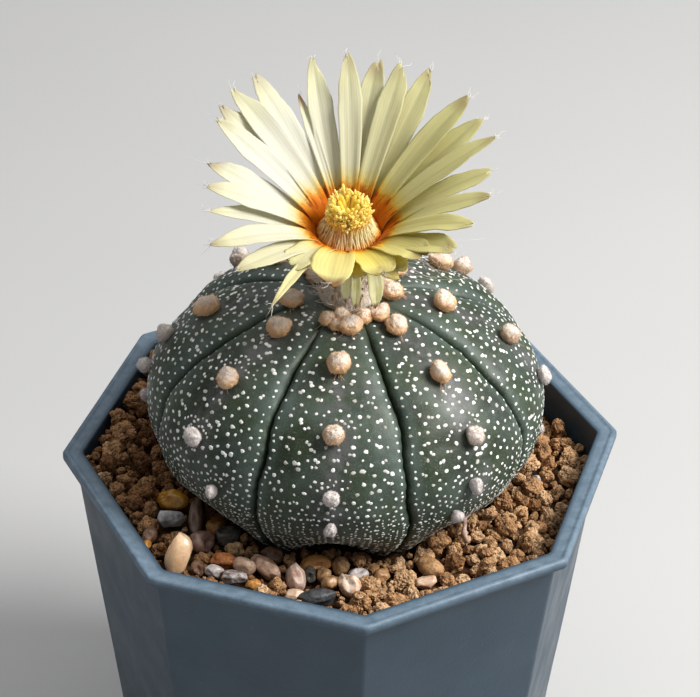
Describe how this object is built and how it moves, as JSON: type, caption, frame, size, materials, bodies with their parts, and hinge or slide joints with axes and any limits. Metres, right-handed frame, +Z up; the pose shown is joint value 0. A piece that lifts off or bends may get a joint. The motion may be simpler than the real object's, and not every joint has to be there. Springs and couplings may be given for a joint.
{
  "type": "potted star cactus",
  "caption": "Squat ribbed star cactus with woolly areoles and one open yellow flower, in an octagonal plastic pot filled with baked-clay granules and pebbles.",
  "frame": {"origin": "middle of the pot's underside, on the surface the pot stands on", "axes": "+Z up along the pot's axis; -Y towards the pot corner that faces the front, the way the flower leans"},
  "size_m": [0.108, 0.108, 0.1649],
  "materials": {
    "pot_plastic": "satin moulded blue-grey plastic with faint scuffs",
    "granules": "porous baked-clay granules, matte",
    "cactus_skin": "waxy dark green plant skin with white wool flecks and tan woolly areoles",
    "tube_wool": "woolly, scaly flower tube, pinkish grey",
    "petals": "thin silky petals, lemon to cream, flame-orange throat",
    "stamens": "pale yellow anthers on golden filaments",
    "stigma": "deep yellow stigma lobes",
    "stone_amber": "polished amber-yellow pebble",
    "stone_quartz": "angular grey-white quartz chip",
    "stone_tall_cream": "smooth cream pebble",
    "stone_long_brown": "smooth brown pebble",
    "stone_round_amber": "smooth honey-brown pebble",
    "stone_pink": "smooth dusky pink pebble",
    "stone_rust": "rough rust-brown stone",
    "stone_long_pink": "smooth speckled pink-tan pebble",
    "stone_striped_orange": "smooth orange pebble with darker stripes",
    "stone_rose": "smooth rose-grey pebble",
    "stone_small_tan": "smooth tan pebble",
    "stone_cream": "smooth cream pebble",
    "stone_black": "smooth near-black pebble",
    "stone_long_tan": "rough tan stone"
  },
  "bodies": {
    "root": {"pot": "pot_plastic", "potting_mix": "granules", "cactus_body": "cactus_skin", "flower_tube": "tube_wool", "corolla": "petals", "stamens": "stamens", "pistil": "stigma", "pebble_amber": "stone_amber", "pebble_quartz": "stone_quartz", "pebble_tall_cream": "stone_tall_cream", "pebble_long_brown": "stone_long_brown", "pebble_round_amber": "stone_round_amber", "pebble_pink": "stone_pink", "pebble_rust": "stone_rust", "pebble_long_pink": "stone_long_pink", "pebble_striped_orange": "stone_striped_orange", "pebble_rose": "stone_rose", "pebble_small_tan": "stone_small_tan", "pebble_cream": "stone_cream", "pebble_black": "stone_black", "pebble_long_tan": "stone_long_tan"}
  },
  "joints": []
}
